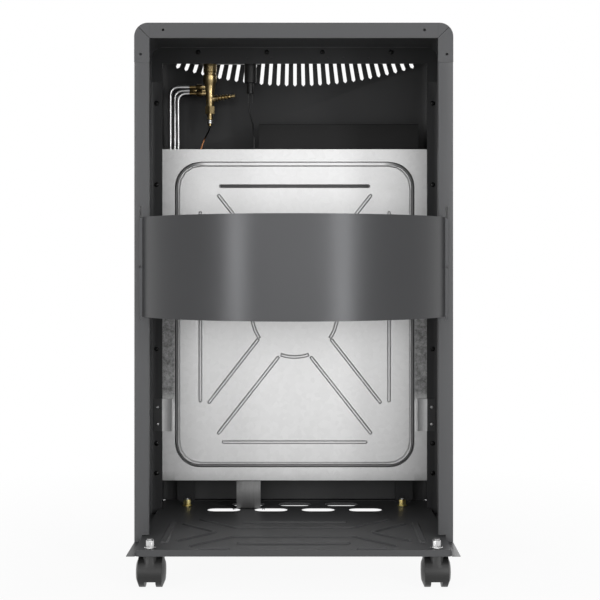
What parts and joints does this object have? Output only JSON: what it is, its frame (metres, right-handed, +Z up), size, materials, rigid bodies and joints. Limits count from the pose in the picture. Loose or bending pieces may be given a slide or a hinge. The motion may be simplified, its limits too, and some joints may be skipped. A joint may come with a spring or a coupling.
{
  "type": "portable gas cabinet heater",
  "caption": "Sheet-steel cabinet heater on twin-wheel casters, open at the rear: bottle bay with a hooked retaining strap, heat shield, gas valve, and a radiant burner behind a wire guard.",
  "frame": {"origin": "on the ground under the centre of the whole heater", "axes": "+Z up; -Y is the open rear with the strap, +Y the front with the burner guard; +X is to the right when seen from behind"},
  "size_m": [0.42, 0.4058, 0.7566],
  "materials": {
    "cabinet_grey": "satin charcoal powder coat",
    "casing_grey": "dark charcoal powder coat",
    "strap_grey": "satin charcoal powder coat with a soft sheen",
    "galvanised_sheet": "mottled galvanised sheet",
    "bright_sheet": "bright zinc-plated sheet",
    "dark_sheet": "matt black heat-proof paint",
    "ceramic": "matt cream ceramic",
    "brass": "turned brass",
    "aluminium_tube": "drawn aluminium tube",
    "copper_lead": "bare copper",
    "black_plastic": "fine-textured black plastic",
    "black_lead": "black insulation",
    "chrome_wire": "chromed wire",
    "caster_plastic": "moulded dark grey plastic",
    "chrome": "bright zinc or chrome plate",
    "yellow_zinc": "yellow-passivated zinc plate"
  },
  "bodies": {
    "cabinet": {"base_pan": "cabinet_grey", "side_panel_left": "cabinet_grey", "side_panel_right": "cabinet_grey", "top_cap": "cabinet_grey", "front_pillar_left": "casing_grey", "front_pillar_right": "casing_grey", "front_lower_panel": "casing_grey", "front_console": "casing_grey", "heat_shield": "galvanised_sheet", "shield_bracket": "galvanised_sheet", "shield_clip_left": "bright_sheet", "shield_clip_right": "bright_sheet", "burner_housing": "bright_sheet", "burner_body_1": "bright_sheet", "burner_body_2": "bright_sheet", "burner_body_3": "bright_sheet", "valve_bracket": "bright_sheet", "thermocouple_probe": "bright_sheet", "heat_baffle": "dark_sheet", "ceramic_plaque_1": "ceramic", "ceramic_plaque_2": "ceramic", "ceramic_plaque_3": "ceramic", "ignition_electrode": "ceramic", "injector_rail": "brass", "pilot_burner": "brass", "gas_valve": "brass", "hose_nozzle": "brass", "gas_tube_1": "aluminium_tube", "gas_tube_2": "aluminium_tube", "gas_tube_3": "aluminium_tube", "thermocouple_lead": "copper_lead", "igniter_body": "black_plastic", "igniter_lead": "black_lead", "guard_grille": "chrome_wire", "caster_nut_rear_left": "chrome", "caster_nut_rear_right": "chrome", "caster_nut_front_left": "yellow_zinc", "caster_nut_front_right": "yellow_zinc"},
    "caster_rear_left": {"caster_hood_rear_left": "caster_plastic", "caster_axle_rear_left": "chrome"},
    "wheel_rear_left_a": {"caster_wheel_rear_left_a": "caster_plastic"},
    "wheel_rear_left_b": {"caster_wheel_rear_left_b": "caster_plastic"},
    "caster_rear_right": {"caster_hood_rear_right": "caster_plastic", "caster_axle_rear_right": "chrome"},
    "wheel_rear_right_a": {"caster_wheel_rear_right_a": "caster_plastic"},
    "wheel_rear_right_b": {"caster_wheel_rear_right_b": "caster_plastic"},
    "caster_front_left": {"caster_hood_front_left": "caster_plastic", "caster_axle_front_left": "chrome"},
    "wheel_front_left_a": {"caster_wheel_front_left_a": "caster_plastic"},
    "wheel_front_left_b": {"caster_wheel_front_left_b": "caster_plastic"},
    "caster_front_right": {"caster_hood_front_right": "caster_plastic", "caster_axle_front_right": "chrome"},
    "wheel_front_right_a": {"caster_wheel_front_right_a": "caster_plastic"},
    "wheel_front_right_b": {"caster_wheel_front_right_b": "caster_plastic"},
    "strap": {"retaining_strap": "strap_grey"},
    "push_collar": {"knob_collar": "black_plastic"},
    "knob": {"control_knob": "black_plastic", "valve_spindle": "brass"},
    "button": {"igniter_button": "black_plastic"}
  },
  "joints": [
    {"name": "rear_left_swivel", "type": "hinge", "parent": "cabinet", "child": "caster_rear_left", "pos_m": [-0.181, -0.131, 0.03], "axis": [0, 0, 1], "continuous": true},
    {"name": "rear_left_wheel_a", "type": "hinge", "parent": "caster_rear_left", "child": "wheel_rear_left_a", "pos_m": [-0.181, -0.119, 0.02], "axis": [1, 0, 0], "continuous": true},
    {"name": "rear_left_wheel_b", "type": "hinge", "parent": "caster_rear_left", "child": "wheel_rear_left_b", "pos_m": [-0.181, -0.119, 0.02], "axis": [1, 0, 0], "continuous": true},
    {"name": "rear_right_swivel", "type": "hinge", "parent": "cabinet", "child": "caster_rear_right", "pos_m": [0.181, -0.131, 0.03], "axis": [0, 0, 1], "continuous": true},
    {"name": "rear_right_wheel_a", "type": "hinge", "parent": "caster_rear_right", "child": "wheel_rear_right_a", "pos_m": [0.181, -0.119, 0.02], "axis": [1, 0, 0], "continuous": true},
    {"name": "rear_right_wheel_b", "type": "hinge", "parent": "caster_rear_right", "child": "wheel_rear_right_b", "pos_m": [0.181, -0.119, 0.02], "axis": [1, 0, 0], "continuous": true},
    {"name": "front_left_swivel", "type": "hinge", "parent": "cabinet", "child": "caster_front_left", "pos_m": [-0.1595, 0.143, 0.03], "axis": [0, 0, 1], "continuous": true},
    {"name": "front_left_wheel_a", "type": "hinge", "parent": "caster_front_left", "child": "wheel_front_left_a", "pos_m": [-0.1595, 0.155, 0.02], "axis": [1, 0, 0], "continuous": true},
    {"name": "front_left_wheel_b", "type": "hinge", "parent": "caster_front_left", "child": "wheel_front_left_b", "pos_m": [-0.1595, 0.155, 0.02], "axis": [1, 0, 0], "continuous": true},
    {"name": "front_right_swivel", "type": "hinge", "parent": "cabinet", "child": "caster_front_right", "pos_m": [0.1595, 0.143, 0.03], "axis": [0, 0, 1], "continuous": true},
    {"name": "front_right_wheel_a", "type": "hinge", "parent": "caster_front_right", "child": "wheel_front_right_a", "pos_m": [0.1595, 0.155, 0.02], "axis": [1, 0, 0], "continuous": true},
    {"name": "front_right_wheel_b", "type": "hinge", "parent": "caster_front_right", "child": "wheel_front_right_b", "pos_m": [0.1595, 0.155, 0.02], "axis": [1, 0, 0], "continuous": true},
    {"name": "strap_lift", "type": "slide", "parent": "cabinet", "child": "strap", "axis": [0, 0, 1], "range_m": [0, 0.012]},
    {"name": "knob_push", "type": "slide", "parent": "cabinet", "child": "push_collar", "axis": [0, 0, -1], "range_m": [0, 0.004], "stiffness_N_per_m": 1200, "springref_m": -0.004},
    {"name": "knob_turn", "type": "hinge", "parent": "push_collar", "child": "knob", "pos_m": [-0.126, 0.148, 0.745], "axis": [0, 0, 1], "range_deg": [0, 180]},
    {"name": "igniter_push", "type": "slide", "parent": "cabinet", "child": "button", "axis": [0, 0, -1], "range_m": [0, 0.006], "stiffness_N_per_m": 800, "springref_m": -0.004}
  ]
}
